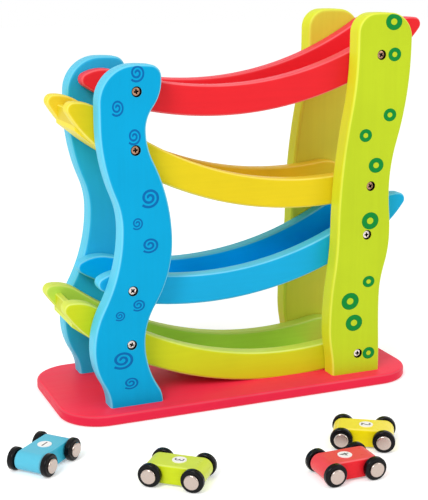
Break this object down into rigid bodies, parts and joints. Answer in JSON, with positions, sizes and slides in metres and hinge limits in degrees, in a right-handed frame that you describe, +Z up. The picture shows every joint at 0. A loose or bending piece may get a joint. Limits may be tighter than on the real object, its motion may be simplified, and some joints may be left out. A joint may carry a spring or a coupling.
{
  "type": "toy race track",
  "caption": "Zigzag wooden race track: curved ramps with rails and end stops between waved uprights on a base board, with little wheeled cars in front.",
  "frame": {"origin": "centre of the underside of the base board, on the surface that the track stands on", "axes": "+X along the track to the right as seen from the numbered cars' side, +Y away from the cars to the back, +Z up"},
  "size_m": [0.4056, 0.318, 0.333],
  "materials": {
    "base_paint": "satin paint on wood",
    "blue_upright_paint": "satin paint on wood",
    "green_upright_paint": "satin paint on wood",
    "red_ramp_paint": "satin paint on wood",
    "yellow_ramp_paint": "satin paint on wood",
    "blue_ramp_paint": "satin paint on wood",
    "green_ramp_paint": "satin paint on wood",
    "screw_steel": "plated",
    "blue_car_paint": "gloss paint on wood",
    "green_car_paint": "gloss paint on wood",
    "red_car_paint": "gloss paint on wood",
    "yellow_car_paint": "gloss paint on wood",
    "number_disc": "matt",
    "axle_steel": "bright",
    "hub_metal": "polished",
    "tyre_rubber": "matt"
  },
  "bodies": {
    "track": {"base_board": "base_paint", "blue_upright_front": "blue_upright_paint", "blue_upright_rear": "blue_upright_paint", "green_upright_front": "green_upright_paint", "green_upright_rear": "green_upright_paint", "green_rail_front": "green_ramp_paint", "green_rail_rear": "green_ramp_paint", "green_floor": "green_ramp_paint", "green_end_stop": "green_ramp_paint", "blue_rail_front": "blue_ramp_paint", "blue_rail_rear": "blue_ramp_paint", "blue_floor": "blue_ramp_paint", "blue_end_stop": "blue_ramp_paint", "yellow_rail_front": "yellow_ramp_paint", "yellow_rail_rear": "yellow_ramp_paint", "yellow_floor": "yellow_ramp_paint", "yellow_end_stop": "yellow_ramp_paint", "red_rail_front": "red_ramp_paint", "red_rail_rear": "red_ramp_paint", "red_floor": "red_ramp_paint", "red_end_stop": "red_ramp_paint", "front_screws": "screw_steel", "rear_screws": "screw_steel", "base_screws": "screw_steel"},
    "blue_car": {"blue_car_body": "blue_car_paint", "blue_car_number_discs": "number_disc"},
    "blue_car_front_wheels": {"blue_car_front_axle": "axle_steel", "blue_car_front_hubs": "hub_metal", "blue_car_front_tyres": "tyre_rubber"},
    "blue_car_rear_wheels": {"blue_car_rear_axle": "axle_steel", "blue_car_rear_hubs": "hub_metal", "blue_car_rear_tyres": "tyre_rubber"},
    "green_car": {"green_car_body": "green_car_paint", "green_car_number_discs": "number_disc"},
    "green_car_front_wheels": {"green_car_front_axle": "axle_steel", "green_car_front_hubs": "hub_metal", "green_car_front_tyres": "tyre_rubber"},
    "green_car_rear_wheels": {"green_car_rear_axle": "axle_steel", "green_car_rear_hubs": "hub_metal", "green_car_rear_tyres": "tyre_rubber"},
    "red_car": {"red_car_body": "red_car_paint", "red_car_number_discs": "number_disc"},
    "red_car_front_wheels": {"red_car_front_axle": "axle_steel", "red_car_front_hubs": "hub_metal", "red_car_front_tyres": "tyre_rubber"},
    "red_car_rear_wheels": {"red_car_rear_axle": "axle_steel", "red_car_rear_hubs": "hub_metal", "red_car_rear_tyres": "tyre_rubber"},
    "yellow_car": {"yellow_car_body": "yellow_car_paint", "yellow_car_number_discs": "number_disc"},
    "yellow_car_front_wheels": {"yellow_car_front_axle": "axle_steel", "yellow_car_front_hubs": "hub_metal", "yellow_car_front_tyres": "tyre_rubber"},
    "yellow_car_rear_wheels": {"yellow_car_rear_axle": "axle_steel", "yellow_car_rear_hubs": "hub_metal", "yellow_car_rear_tyres": "tyre_rubber"}
  },
  "joints": [
    {"name": "blue_car_roll", "type": "slide", "parent": "track", "child": "blue_car", "axis": [0.7431, 0.6691, 0], "range_m": [-0.06, 0.028]},
    {"name": "blue_car_front_spin", "type": "hinge", "parent": "blue_car", "child": "blue_car_front_wheels", "pos_m": [-0.18873, -0.11156, 0.009], "axis": [-0.6691, 0.7431, 0], "range_deg": [-381.97, 178.25]},
    {"name": "blue_car_rear_spin", "type": "hinge", "parent": "blue_car", "child": "blue_car_rear_wheels", "pos_m": [-0.21347, -0.13384, 0.009], "axis": [-0.6691, 0.7431, 0], "range_deg": [-381.97, 178.25]},
    {"name": "green_car_roll", "type": "slide", "parent": "track", "child": "green_car", "axis": [0.766, -0.6428, 0], "range_m": [-0.04, 0.025]},
    {"name": "green_car_front_spin", "type": "hinge", "parent": "green_car", "child": "green_car_front_wheels", "pos_m": [-0.10435, -0.2001, 0.009], "axis": [0.6428, 0.766, 0], "range_deg": [-254.65, 159.15]},
    {"name": "green_car_rear_spin", "type": "hinge", "parent": "green_car", "child": "green_car_rear_wheels", "pos_m": [-0.12985, -0.1787, 0.009], "axis": [0.6428, 0.766, 0], "range_deg": [-254.65, 159.15]},
    {"name": "red_car_roll", "type": "slide", "parent": "track", "child": "red_car", "axis": [-1, 0, 0], "range_m": [-0.01, 0.03]},
    {"name": "red_car_front_spin", "type": "hinge", "parent": "red_car", "child": "red_car_front_wheels", "pos_m": [-0.01355, -0.2281, 0.009], "axis": [0, -1, 0], "range_deg": [-63.66, 190.99]},
    {"name": "red_car_rear_spin", "type": "hinge", "parent": "red_car", "child": "red_car_rear_wheels", "pos_m": [0.01975, -0.2281, 0.009], "axis": [0, -1, 0], "range_deg": [-63.66, 190.99]},
    {"name": "yellow_car_roll", "type": "slide", "parent": "track", "child": "yellow_car", "axis": [0.8508, -0.5255, 0], "range_m": [-0.06, 0.06]},
    {"name": "yellow_car_front_spin", "type": "hinge", "parent": "yellow_car", "child": "yellow_car_front_wheels", "pos_m": [0.05927, -0.18965, 0.009], "axis": [0.5255, 0.8508, 0], "range_deg": [-381.97, 381.97]},
    {"name": "yellow_car_rear_spin", "type": "hinge", "parent": "yellow_car", "child": "yellow_car_rear_wheels", "pos_m": [0.03093, -0.17215, 0.009], "axis": [0.5255, 0.8508, 0], "range_deg": [-381.97, 381.97]}
  ],
  "couplings": [
    {"joint": "blue_car_front_spin", "follows": "blue_car_roll", "rad_per_m": 111.11},
    {"joint": "blue_car_rear_spin", "follows": "blue_car_roll", "rad_per_m": 111.11},
    {"joint": "green_car_front_spin", "follows": "green_car_roll", "rad_per_m": 111.11},
    {"joint": "green_car_rear_spin", "follows": "green_car_roll", "rad_per_m": 111.11},
    {"joint": "red_car_front_spin", "follows": "red_car_roll", "rad_per_m": 111.11},
    {"joint": "red_car_rear_spin", "follows": "red_car_roll", "rad_per_m": 111.11},
    {"joint": "yellow_car_front_spin", "follows": "yellow_car_roll", "rad_per_m": 111.11},
    {"joint": "yellow_car_rear_spin", "follows": "yellow_car_roll", "rad_per_m": 111.11}
  ]
}
